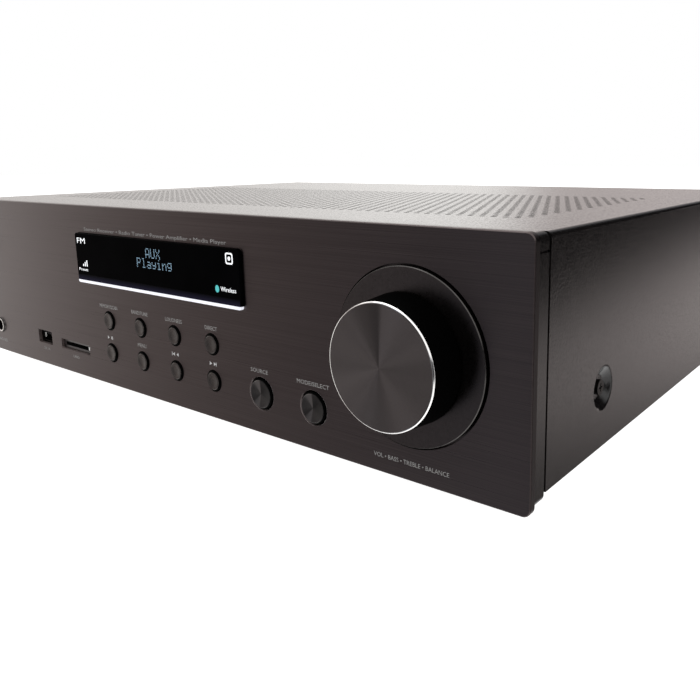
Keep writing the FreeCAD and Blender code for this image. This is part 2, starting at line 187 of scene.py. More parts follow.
def brushed_plate():
    """Anodised aluminium with hair-fine lines from side to side, and painted shade darkening its two ends."""
    s = Surface("brushed_plate", Metallic=1.0, Anisotropic=0.75)
    lines = s.noise(1.0, 4.0, (9, 60, 5200), 0.62)
    place = s.parts(s.add("ShaderNodeTexCoord").outputs["Object"])
    out = s.add("ShaderNodeMath", operation="ABSOLUTE")
    s.link(place["X"], out.inputs[0])
    # painted shade: the colour is darkened over the plate's two ends
    edge = s.add("ShaderNodeMix", data_type="RGBA", blend_type="MULTIPLY")
    start, end = (PLATE_HIGH.x - inset * MM for inset in END_FADE)
    s.link(s.spread(out.outputs["Value"], 0.0, 1.0, start, end), edge.inputs["Factor"])
    s.link(s.blend_colours(lines, (0.075, 0.061, 0.060), (0.110, 0.0905, 0.0885)), edge.inputs["A"])
    edge.inputs["B"].default_value = (*END_PAINTED_SHADE, 1)
    s.link(edge.outputs["Result"], s.shader.inputs["Base Color"])
    s.roughness(lines, 0.27, 0.40)
    s.relief(lines, 0.10, LINE_DEPTH)
    across = s.add("ShaderNodeCombineXYZ")
    across.inputs["Z"].default_value = 1.0
    s.link(across.outputs["Vector"], s.shader.inputs["Tangent"])
    return s.material


def painted_wedge_shade(s, flat, plain, painted_wedges):
    """The plain colour with painted light and shade in wedges round the axis, by (share of a turn from straight down,
    painted brightness) pairs.
    """
    place = s.parts(flat)
    turn = s.add("ShaderNodeMath", operation="ARCTAN2")
    s.link(place["X"], turn.inputs[0])
    s.link(place["Z"], turn.inputs[1])
    around = s.spread(turn.outputs["Value"], 0.0, 1.0, -math.pi, math.pi)
    light_painted = s.add("ShaderNodeMix", data_type="RGBA", blend_type="MULTIPLY")
    light_painted.inputs["Factor"].default_value = 1.0
    s.link(plain, light_painted.inputs["A"])
    s.link(s.ramp(around, [(position, (painted_level,) * 3) for position, painted_level in painted_wedges], "EASE"), light_painted.inputs["B"])
    return light_painted.outputs["Result"]


def spun_metal(name, dark, light, fineness, low=0.24, high=0.36, bump=0.06, gather=0.85, painted_wedges=()):
    """Turned aluminium: rings too fine to see, which gather the light, and painted light and shade in wedges round the
    axis.
    """
    s = Surface(name, Metallic=1.0, Anisotropic=gather, Anisotropic_Rotation=0.25)
    shifted = s.add("ShaderNodeVectorMath", operation="SUBTRACT")
    shifted.inputs[1].default_value = (0.5, 0.0, 0.5)
    flat = s.add("ShaderNodeVectorMath", operation="MULTIPLY")
    flat.inputs[1].default_value = (1.0, 0.0, 1.0)
    radius = s.add("ShaderNodeVectorMath", operation="LENGTH")
    rings = s.add("ShaderNodeTexNoise", noise_dimensions="1D")
    rings.inputs["Scale"].default_value = fineness
    rings.inputs["Detail"].default_value = 3.0
    s.link(s.add("ShaderNodeTexCoord").outputs["Generated"], shifted.inputs[0])
    s.link(shifted.outputs["Vector"], flat.inputs[0])
    s.link(flat.outputs["Vector"], radius.inputs[0])
    s.link(radius.outputs["Value"], rings.inputs["W"])
    ringed = rings.outputs["Fac"]
    tone = s.blend_colours(ringed, dark, light)
    # painted highlights and shade: wedges of brightness laid into the base colour round the axis
    if painted_wedges:
        tone = painted_wedge_shade(s, flat.outputs["Vector"], tone, painted_wedges)
    s.link(tone, s.shader.inputs["Base Color"])
    s.roughness(ringed, low, high)
    s.relief(ringed, bump, RING_DEPTH)
    tangent = s.add("ShaderNodeTangent", direction_type="RADIAL", axis="Y")
    s.link(tangent.outputs["Tangent"], s.shader.inputs["Tangent"])
    return s.material


def textured_coat():
    """Warm black powder coat with a fine leather grain, flatter on the top than on the sides."""
    s = Surface("textured_coat", Specular_IOR_Level=0.5)
    grain = s.cells(1250)
    facing = s.parts(s.add("ShaderNodeTexCoord").outputs["Normal"])
    s.colour(s.noise(260, 4.0), (0.0024, 0.0020, 0.0020), (0.0062, 0.0053, 0.0051))
    s.roughness(grain, 0.17, 0.26)
    s.relief(product(s, grain, s.spread(facing["Z"], 1.0, 0.30, 0.2, 0.8)), 0.30, GRAIN_DEPTH)
    return s.material


def moulded(name, dark, light, low, high, grain=1400, strength=0.12, **sockets):
    s = Surface(name, **sockets)
    speckle = s.noise(grain, 3.0)
    s.colour(speckle, dark, light)
    s.roughness(speckle, low, high)
    s.relief(speckle, strength, SPECKLE_DEPTH)
    return s.material


def polished(name, dark, light, low, high, **sockets):
    s = Surface(name, **sockets)
    haze = s.noise(45, 2.0)
    s.colour(haze, dark, light)
    s.roughness(haze, low, high)
    return s.material


def plain_metal(name, dark, light, low, high, scale=300, stretch=(1, 1, 1), bump=0.06):
    s = Surface(name, Metallic=1.0)
    grain = s.noise(scale, 3.0, stretch)
    s.colour(grain, dark, light)
    s.roughness(grain, low, high)
    s.relief(grain, bump, RING_DEPTH)
    return s.material


def printed(name, dark, light, glow=0.0):
    """Screen-printed ink, or lit segments where glow is given."""
    s = Surface(name, Roughness=0.5)
    fleck = s.noise(2600, 2.0)
    s.colour(fleck, dark, light)
    if glow:
        s.emit(s.blend_colours(fleck, dark, light), glow)
    return s.material


def light_guide():
    """Frosted bar lit from inside, with a faint haze."""
    s = Surface("light_guide", Roughness=0.3)
    haze = s.noise(90, 2.0)
    s.colour(haze, (0.24, 0.24, 0.27), (0.30, 0.30, 0.33))
    s.emit(s.blend_colours(haze, (0.84, 0.85, 0.93), (0.96, 0.97, 1.0)), 0.80)
    return s.material


def bar_glow():
    """Black print with a painted blue glow from the lit bar, fading upwards."""
    s = Surface("bar_glow", Roughness=0.5, Specular_IOR_Level=0.01)
    s.colour(s.noise(2600, 2.0), (0.0006, 0.0006, 0.0008), (0.0012, 0.0012, 0.0016))
    place = s.parts(s.add("ShaderNodeTexCoord").outputs["Object"])
    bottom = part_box("display_light_bar")[0].z + BAR_TALL * MM
    height = s.spread(place["Z"], 0.0, 1.0, bottom, bottom + BAND_TALL * MM)
    s.emit(s.blend_colours(height, (0.010, 0.009, 0.021), (0.0, 0.0, 0.0), 0.15, 1.0), 1.0)
    return s.material


# How painted light and shade lie in wedges round the turned faces' axis: (share of a turn, clockwise from the bottom,
# painted brightness).
KNOB_PAINTED_WEDGES = ((0.0, 0.60), (0.05, 0.70), (0.10, 0.94), (0.17, 0.97), (0.25, 0.80), (0.32, 0.88), (0.38, 0.72),
               (0.44, 0.50), (0.498, 0.38), (0.52, 0.80), (0.58, 0.88), (0.66, 0.84), (0.75, 0.70), (0.84, 0.76),
               (0.92, 0.73), (1.0, 0.60))
BUTTON_PAINTED_WEDGES = ((0.0, 0.45), (0.05, 0.95), (0.10, 0.90), (0.15, 0.35), (0.25, 0.50), (0.36, 0.45), (0.43, 0.90),
                 (0.48, 0.95), (0.52, 0.22), (0.62, 0.18), (0.75, 0.28), (0.88, 0.35), (1.0, 0.45))


def make_materials():
    """Every finish by its name, without the number that Blender adds where the frame has the same name."""
    made = (
        brushed_plate(),
        spun_metal("spun_knob", (0.160, 0.140, 0.136), (0.207, 0.182, 0.177), 420, 0.38, 0.46, 0.03, 0.95, KNOB_PAINTED_WEDGES),
        spun_metal("spun_button", (0.108, 0.100, 0.099), (0.180, 0.169, 0.164), 120, 0.30, 0.40, 0.05, 0.95,
                   BUTTON_PAINTED_WEDGES),
        spun_metal("key_metal", (0.070, 0.062, 0.058), (0.095, 0.085, 0.080), 60),
        plain_metal("disc_satin", (0.078, 0.067, 0.064), (0.092, 0.079, 0.076), 0.27, 0.31, 900, bump=0.012),
        plain_metal("bright_cut", (0.80, 0.78, 0.76), (0.95, 0.94, 0.93), 0.10, 0.18),
        plain_metal("ring_cut", (0.40, 0.38, 0.37), (0.52, 0.50, 0.49), 0.14, 0.22),
        plain_metal("faint_cut", (0.060, 0.056, 0.054), (0.090, 0.085, 0.082), 0.20, 0.30),
        moulded("black_wall", (0.0015, 0.0015, 0.0015), (0.003, 0.003, 0.003), 0.45, 0.55, Specular_IOR_Level=0.06),
        moulded("knob_side", (0.0003, 0.0003, 0.0003), (0.0008, 0.0008, 0.0008), 0.45, 0.55, Specular_IOR_Level=0.01),
        moulded("satin_black", (0.012, 0.011, 0.011), (0.020, 0.019, 0.019), 0.30, 0.42),
        moulded("frame_black", (0.0028, 0.0024, 0.0024), (0.0060, 0.0052, 0.0050), 0.17, 0.24, 900, 0.05,
                Specular_IOR_Level=0.38),
        plain_metal("mouth_wall", (0.20, 0.16, 0.155), (0.28, 0.23, 0.22), 0.5, 0.65, 700),
        textured_coat(),
        moulded("rear_coat", (0.018, 0.018, 0.019), (0.028, 0.028, 0.029), 0.45, 0.6, 900, 0.2),
        plain_metal("zinc", (0.50, 0.50, 0.49), (0.64, 0.64, 0.62), 0.30, 0.48, 120),
        plain_metal("nickel", (0.66, 0.65, 0.62), (0.80, 0.79, 0.76), 0.16, 0.28, 500),
        plain_metal("dark_nickel", (0.16, 0.15, 0.145), (0.24, 0.23, 0.22), 0.22, 0.34, 500),
        plain_metal("socket_grey", (0.13, 0.127, 0.125), (0.19, 0.187, 0.185), 0.30, 0.42, 600),
        plain_metal("brass", (0.72, 0.52, 0.20), (0.85, 0.66, 0.32), 0.20, 0.32, 500),
        plain_metal("aluminium", (0.70, 0.70, 0.71), (0.82, 0.82, 0.83), 0.28, 0.42, 40, (1, 1, 12)),
        plain_metal("black_oxide", (0.016, 0.015, 0.014), (0.036, 0.034, 0.033), 0.30, 0.45, 700),
        polished("acrylic", (0.0006, 0.0006, 0.0007), (0.0012, 0.0012, 0.0014), 0.02, 0.05, Specular_IOR_Level=0.004),
        light_guide(),
        printed("segment", (0.11, 0.19, 0.26), (0.20, 0.31, 0.40), 1.0),
        bar_glow(),
        printed("icon_white", (0.70, 0.72, 0.74), (0.84, 0.86, 0.88), 0.5),
        printed("icon_teal", (0.03, 0.30, 0.31), (0.06, 0.40, 0.40), 0.5),
        printed("ink", (0.19, 0.185, 0.18), (0.27, 0.265, 0.26)),
        printed("ink_white", (0.36, 0.36, 0.36), (0.46, 0.46, 0.46)),
        moulded("rubber", (0.012, 0.012, 0.012), (0.022, 0.022, 0.022), 0.6, 0.8, 500, 0.3),
        moulded("board", (0.010, 0.070, 0.028), (0.020, 0.110, 0.045), 0.35, 0.5, 240),
        moulded("ribbon", (0.30, 0.30, 0.31), (0.42, 0.42, 0.43), 0.4, 0.55, 600),
        moulded("winding", (0.42, 0.28, 0.04), (0.62, 0.44, 0.08), 0.3, 0.5, 160),
        polished("red_plastic", (0.36, 0.012, 0.012), (0.50, 0.022, 0.020), 0.14, 0.24),
        polished("black_plastic", (0.010, 0.010, 0.011), (0.018, 0.018, 0.019), 0.16, 0.26),
        moulded("white_plastic", (0.66, 0.66, 0.64), (0.80, 0.80, 0.78), 0.3, 0.45),
    )
    return {material.name.split(".")[0]: material for material in made}


# Which finish each plain CAD node gets.
CAD_FINISH = {
    "brushed_plate": ("front_plate",),
    "frame_black": ("front_frame",),
    "zinc": ("base_tray", "transformer_clamp", "board_standoffs", "volume_encoder", "volume_shaft"),
    "rear_coat": ("rear_panel",),
    "black_wall": ("display_module", "button_carrier", "power_transistors", "headphone_jack"),
    "board": ("front_board", "main_board"),
    "black_plastic": ("tact_switches", "reservoir_capacitors", "speaker_terminal_plate", "power_rocker",
                      "speaker_cap_1", "speaker_cap_3"),
    "ribbon": ("ribbon_cable",),
    "aluminium": ("heatsink",),
    "nickel": ("wireless_module", "tuner_module", "line_socket_shells", "antenna_socket"),
    "winding": ("toroidal_transformer",),
    "black_oxide": ("side_screws", "rear_screws", "foot_screws"),
    "brass": ("speaker_studs", "mains_pins"),
    "satin_black": ("line_socket_block", "mains_inlet", "switch_housing"),
    "red_plastic": ("speaker_cap_2", "speaker_cap_4"),
}


def paint_nodes(finish):
    for name, members in CAD_FINISH.items():
        for node in members:
            slots = nodes[node].data.materials
            slots.clear()
            slots.append(finish[name])


# ---- mesh helpers ----
def add_object(name, data):
    item = bpy.data.objects.new(name, data)
    bpy.context.scene.collection.objects.link(item)
    return item


def piece(name, mesh, body, material, replaced=()):
    """Makes mesh a visible piece that rides on body and stands for the replaced CAD nodes."""
    mesh.materials.clear()
    mesh.materials.append(material)
    item = add_object(name, mesh)
    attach(item, body)
    if replaced:
        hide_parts(*replaced)
    return item


def smooth_mesh(name, shape, angle=28):
    """Turns a bmesh into a mesh, smooth except across edges sharper than angle degrees."""
    bmesh.ops.recalc_face_normals(shape, faces=shape.faces)
    mesh = bpy.data.meshes.new(name)
    shape.to_mesh(mesh)
    shape.free()
    mesh.shade_smooth()
    mesh.set_sharp_from_angle(angle=math.radians(angle))
    return mesh


CURVE_STEPS = 3  # straight pieces in a profile's rounded corner
CURVE_SHARE = 0.45  # of the shorter edge at a corner, at most
CORNER_STEPS = 6  # straight pieces in an outline's rounded corner
OVAL_SIDES = 20
KNOB_SIDES, SELECTOR_SIDES, KEY_SIDES, FOOT_SIDES, WASHER_SIDES = 192, 96, 72, 96, 48
ON_AXIS = 1e-6  # a smaller radius is a point on the axis
FLAT_ANGLE = 20  # degrees, for pieces with flat faces


def softened(profile, radius):
    """The same open profile with each inner corner rounded by a short curve."""
    points = [Vector(p) for p in profile]
    result = [points[0]]
    for before, corner, after in zip(points, points[1:], points[2:]):
        reach = min(radius, (corner - before).length * CURVE_SHARE, (after - corner).length * CURVE_SHARE)
        start = corner + (before - corner).normalized() * reach
        end = corner + (after - corner).normalized() * reach
        for step in range(CURVE_STEPS + 1):
            t = step / CURVE_STEPS
            result.append(start * (1 - t) ** 2 + corner * 2 * t * (1 - t) + end * t ** 2)
    result.append(points[-1])
    return result


def lathe(name, origin, profile, segments, axis="Y"):
    """A turned shape about an axis through origin, from (radius, distance) points in millimetres."""
    shape = bmesh.new()

    def corner(a, b, along):
        return shape.verts.new(origin + Vector((a, along, b) if axis == "Y" else (a, b, along)) * MM)

    rings = []
    for number, (radius, along) in enumerate(profile):
        if number and number == len(profile) - 1 and tuple(profile[0]) == (radius, along):
            rings.append(rings[0])
        elif radius < ON_AXIS:
            rings.append([corner(0, 0, along)])
        else:
            turns = [2 * math.pi * step / segments for step in range(segments)]
            rings.append([corner(radius * math.cos(turn), radius * math.sin(turn), along) for turn in turns])
    for first, second in zip(rings, rings[1:]):
        for step in range(segments):
            following = (step + 1) % segments
            if len(first) == 1:
                shape.faces.new((first[0], second[step], second[following]))
            elif len(second) == 1:
                shape.faces.new((first[step], first[following], second[0]))
            else:
                shape.faces.new((first[step], first[following], second[following], second[step]))
    return smooth_mesh(name, shape)


def rectangle(x0, x1, h0, h1):
    return (x0, h0), (x1, h0), (x1, h1), (x0, h1)


def rounded_outline(x0, x1, h0, h1, radius):
    """(x, height) points round a rectangle with rounded corners."""
    points = []
    corners = ((x1 - radius, h1 - radius, 0), (x0 + radius, h1 - radius, 90),
               (x0 + radius, h0 + radius, 180), (x1 - radius, h0 + radius, 270))
    for x, h, start in corners:
        for step in range(CORNER_STEPS + 1):
            angle = math.radians(start + 90 * step / CORNER_STEPS)
            points.append((x + radius * math.cos(angle), h + radius * math.sin(angle)))
    return points


def oval(x, h, radius_x, radius_h):
    turns = [2 * math.pi * step / OVAL_SIDES for step in range(OVAL_SIDES)]
    return [(x + radius_x * math.cos(turn), h + radius_h * math.sin(turn)) for turn in turns]


def box_outline(node, inset, radius):
    """A rounded outline round a CAD node, inset millimetres inside it."""
    x0, x1, h0, h1, _, _ = box_mm(node)
    return rounded_outline(x0 + inset, x1 - inset, h0 + inset, h1 - inset, radius)


def add_ring(shape, outline, depth):
    return [shape.verts.new(at(x, depth, h)) for x, h in outline]


def add_walls(shape, rings):
    """Adds the faces between each ring of corners and the next."""
    for first, second in zip(rings, rings[1:]):
        for step in range(len(first)):
            after = (step + 1) % len(first)
            shape.faces.new((first[step], first[after], second[after], second[step]))


def add_caps(shape, first, last):
    shape.faces.new(first)
    shape.faces.new(list(reversed(last)))


def skin(name, layers, capped=True):
    """A closed mesh over (outline, depth) layers, capped at its ends or joined end to end."""
    shape = bmesh.new()
    rings = [add_ring(shape, outline, depth) for outline, depth in layers]
    if capped:
        add_walls(shape, rings)
        add_caps(shape, rings[0], rings[-1])
    else:
        add_walls(shape, rings + rings[:1])
    return smooth_mesh(name, shape, FLAT_ANGLE)


def slab(name, outline, front, back, bevel):
    """An upright slab from an (x, height) outline, with a bevel round its front face."""
    middle_x = sum(x for x, _ in outline) / len(outline)
    middle_h = sum(h for _, h in outline) / len(outline)
    face = [(x - math.copysign(min(bevel, abs(x - middle_x)), x - middle_x),
             h - math.copysign(min(bevel, abs(h - middle_h)), h - middle_h)) for x, h in outline]
    return skin(name, ((outline, back), (outline, front + bevel), (face, front)))


def pocket(name, outer, inner, front, back, floor):
    """A closed block between two outlines of equal length, with a blind pocket down to the depth floor."""
    return skin(name, ((outer, back), (outer, front), (inner, front), (inner, floor)))


def sleeve(name, outer, inner, front, back):
    """A closed ring between two outlines of equal length."""
    return skin(name, ((outer, back), (outer, front), (inner, front), (inner, back)), capped=False)


def prisms(name, outlines, front, back, material):
    """A cabinet piece of closed upright prisms, one on each (x, height) outline."""
    shape = bmesh.new()
    for outline in outlines:
        near, far = (add_ring(shape, outline, depth) for depth in (front, back))
        add_caps(shape, near, far)
        add_walls(shape, (far, near))
    piece(name, smooth_mesh(name, shape, FLAT_ANGLE), CABINET, material)


# ---- camera and light ----
LIGHT_SIDE = (-0.94, 0.342, 0.0)  # the big soft light fills the left and the rear left
TABLE_SIDE = (0.342, 0.94, 0.0)  # a pale table top shows in the right side's gloss
# How bright the studio is, from straight away from the light side to straight towards it.
STUDIO_STEPS = ((-1.0, (1.20, 1.20, 1.20)), (-0.75, (1.05, 1.05, 1.05)), (-0.45, (0.35, 0.35, 0.36)),
                (-0.15, (0.012, 0.011, 0.012)), (0.02, (0.012, 0.011, 0.012)), (0.10, (0.38, 0.40, 0.46)),
                (0.16, (0.38, 0.40, 0.45)), (0.24, (0.27, 0.27, 0.29)),
                (0.40, (0.33, 0.31, 0.32)), (0.55, (0.50, 0.46, 0.45)), (0.71, (0.72, 0.66, 0.64)),
                (0.78, (1.50, 1.47, 1.43)), (1.0, (1.02, 0.97, 0.94)))
BRIGHTEST = 2.0
TABLE_EDGE = (0.577, 0.0, 1.0)  # its far edge slopes down towards the right
TABLE_COLOUR = (0.90, 0.81, 0.79)
CORNER_COLOUR = (0.012, 0.011, 0.012)  # the studio's dim corner, rear right
CEILING_COLOUR = (1.3, 1.3, 1.3)
FLOOR_SIDE = (0.0, 0.6, -1.0)
FLOOR_COLOUR = (1.5, 1.5, 1.5)  # the bright paper below and behind
SCREEN_COLOUR = (0.06, 0.06, 0.065)  # a dark screen, low at the right front
FLOOR_GLOW = 0.85
WHITE = (1, 1, 1)  # what the camera sees beyond the stage
RIGHT, REAR, UP = (1, 0, 0), (0, 1, 0), (0, 0, 1)
# Where each part of the studio eases in: how far a direction points towards the named side.
TABLE_ACROSS, TABLE_FAR, TABLE_NEAR, TABLE_NEAR_SHARE = (0.45, 0.75), (0.07, -0.03), (-0.08, -0.20), 0.2
CORNER_RIGHT, CORNER_REAR = (0.02, 0.14), (0.3, 0.6)
CEILING_UP = (0.45, 0.75)
FLOOR_ACROSS, FLOOR_DOWN = (0.40, 0.56), (-0.50, -0.70)
SCREEN_ACROSS, SCREEN_DOWN = (-0.90, -0.95), (0.30, 0.10)

OVERHEAD_PLACE, OVERHEAD_SIZE, OVERHEAD_POWER = (-0.4, 0.3, 1.9), (2.0, 1.4), 10
FLOOR_HALF = 6.0  # metres

# The camera as solved from the photo: millimetres, and directions of the view and its right side.
SENSOR_WIDTH, LENS, SHIFT = 36.0, 36.917, (-0.09275, -0.07998)
CAMERA_PLACE = (319.983, -203.618, 122.895)
CAMERA_FORWARD = (-0.59012044, 0.78465414, -0.18993617)
CAMERA_RIGHT = (0.80049818, 0.59922244, -0.01162476)
CLIP_START = 0.01


class Sky(Surface):
    """The world's node tree, with the same helpers as a material."""

    def __init__(self, world):
        self.tree = world.node_tree


def make_camera():
    """Stands close to the right end of the front, a little above the cabinet's top."""
    data = bpy.data.cameras.new("camera")
    data.sensor_width = SENSOR_WIDTH
    data.lens = LENS
    data.shift_x, data.shift_y = SHIFT
    data.clip_start = CLIP_START
    camera = add_object("camera", data)
    forward, right = Vector(CAMERA_FORWARD), Vector(CAMERA_RIGHT)
    up = right.cross(forward).normalized()
    turn = Matrix((right, up, -forward)).transposed().to_4x4()
    camera.matrix_world = Matrix.Translation(at(*CAMERA_PLACE)) @ turn
    bpy.context.scene.camera = camera


def make_overhead():
    """A weak, wide light above, aimed at the origin."""
    data = bpy.data.lights.new("overhead", "AREA")
    data.shape = "RECTANGLE"
    data.size, data.size_y = OVERHEAD_SIZE
    data.energy = OVERHEAD_POWER
    light = add_object("overhead", data)
    light.location = OVERHEAD_PLACE
    light.rotation_euler = (-Vector(OVERHEAD_PLACE)).to_track_quat("-Z", "Y").to_euler()


def reach_towards(s, vector, side):
    """How far a direction points towards side: from -1 to 1 times the length of side."""
    node = s.add("ShaderNodeVectorMath", operation="DOT_PRODUCT")
    node.inputs[1].default_value = side
    s.link(vector, node.inputs[0])
    return node.outputs["Value"]


def eased(s, value, start, end):
    """Rises smoothly from 0 to 1 as value goes from start to end."""
    ramp = s.add("ShaderNodeMapRange", interpolation_type="SMOOTHSTEP")
    ramp.inputs["From Min"].default_value = start
    ramp.inputs["From Max"].default_value = end
    s.link(value, ramp.inputs["Value"])
    return ramp.outputs["Result"]


def product(s, first, second):
    node = s.add("ShaderNodeMath", operation="MULTIPLY")
    s.link(first, node.inputs[0])
    s.link(second, node.inputs[1])
    return node.outputs["Value"]


def share(colour):
    """A colour as a share of the brightest."""
    return tuple(c / BRIGHTEST for c in colour)


def mixed(s, factor, first, colour):
    """first where factor is 0 and colour where it is 1."""
    node = s.add("ShaderNodeMix", data_type="RGBA")
    s.link(factor, node.inputs["Factor"])
    s.link(first, node.inputs["A"])
    node.inputs["B"].default_value = (*share(colour), 1)
    return node.outputs["Result"]


def make_stage():
    """A pale floor, lit evenly; the studio round it is what shows in the gloss."""
    mesh = bpy.data.meshes.new("floor")
    mesh.from_pydata([(x * FLOOR_HALF, y * FLOOR_HALF, 0) for x, y in rectangle(-1, 1, -1, 1)], [], [(0, 1, 2, 3)])
    s = Surface("floor_paper", Roughness=0.9, Specular_IOR_Level=0.1, Emission_Strength=FLOOR_GLOW,
                Emission_Color=(1, 1, 1, 1))
    s.colour(s.noise(6, 2.0), (0.60, 0.60, 0.60), (0.63, 0.63, 0.63))
    mesh.materials.append(s.material)
    floor = add_object("floor", mesh)
    floor.visible_glossy = False


def make_light():
    """A studio of soft bands, laid one over another by the direction they are seen in."""
    scene = bpy.context.scene
    scene.view_settings.view_transform = "Standard"
    world = bpy.data.worlds.new("studio")
    world.use_nodes = True
    scene.world = world
    s = Sky(world)
    way = s.add("ShaderNodeTexCoord").outputs["Generated"]

    def band(side, edges):
        return eased(s, reach_towards(s, way, side), *edges)

    across = s.spread(reach_towards(s, way, LIGHT_SIDE), 0.0, 1.0, -1.0, 1.0)
    studio = s.ramp(across, [((reach + 1) / 2, share(colour)) for reach, colour in STUDIO_STEPS], "CARDINAL")
    table = product(s, band(TABLE_SIDE, TABLE_ACROSS), band(TABLE_EDGE, TABLE_FAR))
    table = product(s, table, s.spread(band(TABLE_EDGE, TABLE_NEAR), 1.0, TABLE_NEAR_SHARE, 0.0, 1.0))
    for factor, colour in (
            (product(s, band(RIGHT, CORNER_RIGHT), band(REAR, CORNER_REAR)), CORNER_COLOUR),
            (table, TABLE_COLOUR),
            (band(UP, CEILING_UP), CEILING_COLOUR),
            (product(s, band(FLOOR_SIDE, FLOOR_ACROSS), band(UP, FLOOR_DOWN)), FLOOR_COLOUR),
            (product(s, band(LIGHT_SIDE, SCREEN_ACROSS), band(UP, SCREEN_DOWN)), SCREEN_COLOUR),
            (s.add("ShaderNodeLightPath").outputs["Is Camera Ray"], WHITE)):
        studio = mixed(s, factor, studio, colour)
    background = world.node_tree.nodes["Background"]
    background.inputs["Strength"].default_value = BRIGHTEST
    s.link(studio, background.inputs["Color"])
    make_overhead()


# ---- cabinet ----
VENT_PITCH_X, VENT_PITCH_Y = 5.65, 5.9  # staggered rows of round holes
VENT_HOLE_R = 1.4
VENT_ROWS = 25
VENT_FRONT_D = 50.0  # plate's face to the field's front edge
VENT_HALF_W = 186.0
HOLE_SIDES = 16
SHEET = 1.0  # thickness of the cover
SAME_LEVEL, WELD = 1e-5, 2e-6  # metres


def vent_field(shape, top):
    """Adds the perforated field to shape and returns its (x0, x1, y0, y1)."""
    columns = int(2 * VENT_HALF_W / VENT_PITCH_X)
    field_w = (columns + 0.5) * VENT_PITCH_X
    corner = at(-field_w / 2, VENT_FRONT_D, 0)
    under = top - SHEET * MM
    for row in range(VENT_ROWS):
        y = corner.y + row * VENT_PITCH_Y * MM
        shift = VENT_PITCH_X / 2 if row % 2 else 0.0
        for column in range(columns):
            x = corner.x + (column * VENT_PITCH_X + shift) * MM
            perforated_cell(shape, x, y, top, under)
        spare_x = corner.x + (0.0 if row % 2 else columns * VENT_PITCH_X) * MM
        for level in (top, under):
            spare = rectangle(spare_x, spare_x + VENT_PITCH_X / 2 * MM, y, y + VENT_PITCH_Y * MM)
            shape.faces.new([shape.verts.new((px, py, level)) for px, py in spare])
    return corner.x, corner.x + field_w * MM, corner.y, corner.y + VENT_ROWS * VENT_PITCH_Y * MM


def perforated_cell(shape, x, y, top, under):
    """One rectangle of sheet with a round hole through it."""
    w, d = VENT_PITCH_X * MM, VENT_PITCH_Y * MM
    rim = [(w, d / 2), (w, d), (w / 2, d), (0, d), (0, d / 2), (0, 0), (w / 2, 0), (w, 0)]
    hole = []
    for step in range(HOLE_SIDES):
        angle = 2 * math.pi * step / HOLE_SIDES
        hole.append((w / 2 + VENT_HOLE_R * MM * math.cos(angle), d / 2 + VENT_HOLE_R * MM * math.sin(angle)))
    layers = []
    for level in (top, under):
        outer = [shape.verts.new((x + px, y + py, level)) for px, py in rim]
        inner = [shape.verts.new((x + px, y + py, level)) for px, py in hole]
        for side in range(len(rim)):
            after = (side + 1) % len(rim)
            first, middle, last = 2 * side, 2 * side + 1, (2 * side + 2) % HOLE_SIDES
            shape.faces.new((inner[first], outer[side], outer[after], inner[last], inner[middle]))
        layers.append(inner)
    for step in range(HOLE_SIDES):
        after = (step + 1) % HOLE_SIDES
        shape.faces.new((layers[0][step], layers[1][step], layers[1][after], layers[0][after]))


def make_cover(finish):
    """The folded cover: the CAD sheet with its flat top cut out and a perforated top put in."""
    shape = bmesh.new()
    shape.from_mesh(nodes["top_cover"].data)
    levels = (COVER_TOP, COVER_TOP - SHEET * MM)
    flat, edges = [], {}
    for level in levels:
        faces = [f for f in shape.faces if all(abs(v.co.z - level) < SAME_LEVEL for v in f.verts)]
        points = [v.co for f in faces for v in f.verts]
        edges[level] = [pick(p[axis] for p in points) for axis in (0, 1) for pick in (min, max)]
        flat += faces
    bmesh.ops.delete(shape, geom=flat, context="FACES")
    x0, x1, y0, y1 = vent_field(shape, COVER_TOP)
    for level in levels:
        low_x, high_x, low_y, high_y = edges[level]
        for sides in ((low_x, high_x, low_y, y0), (low_x, high_x, y1, high_y),
                      (low_x, x0, y0, y1), (x1, high_x, y0, y1)):
            shape.faces.new([shape.verts.new((*p, level)) for p in rectangle(*sides)])
    bmesh.ops.remove_doubles(shape, verts=shape.verts, dist=WELD)
    cover = piece("cover_sheet", smooth_mesh("cover_sheet", shape), CABINET, finish["textured_coat"],
                  ["top_cover"])
    weighted = cover.modifiers.new("flat_panels", "WEIGHTED_NORMAL")
    weighted.keep_sharp = True
    weighted.weight = 100


def make_feet(finish):
    """Turned feet, hollow in the middle for a screw, with a groove round the sole."""
    for side in ("left", "right"):
        for end in ("front", "rear"):
            node = "foot_" + end + "_" + side
            low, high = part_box(node)
            tall = (high.z - low.z) / MM
            outer_r = (high.x - low.x) / 2 / MM
            profile = [(1.9, tall), (outer_r, tall), (outer_r, tall - 3), (outer_r - 1.5, 1), (outer_r - 2.5, 0),
                       (outer_r - 6, 0), (outer_r - 6.6, 0.8), (8.0, 0.8), (7.2, 0), (6, 0), (6, 7.5), (1.9, 7.5),
                       (1.9, tall)]
            origin = Vector(((low.x + high.x) / 2, (low.y + high.y) / 2, low.z))
            mesh = lathe(node + "_moulding", origin, softened(profile, 0.5), FOOT_SIDES, "Z")
            piece(node + "_moulding", mesh, CABINET, finish["rubber"], [node])


# ---- front ----
def turned_parts(node, body, origin, parts, segments):
    """Closed turned pieces on one axis: (suffix, profile, material) each; the first stands for the node."""
    for number, (suffix, profile, material) in enumerate(parts):
        name = node + "_" + suffix
        piece(name, lathe(name, origin, profile, segments), body, material, [node] if number == 0 else ())


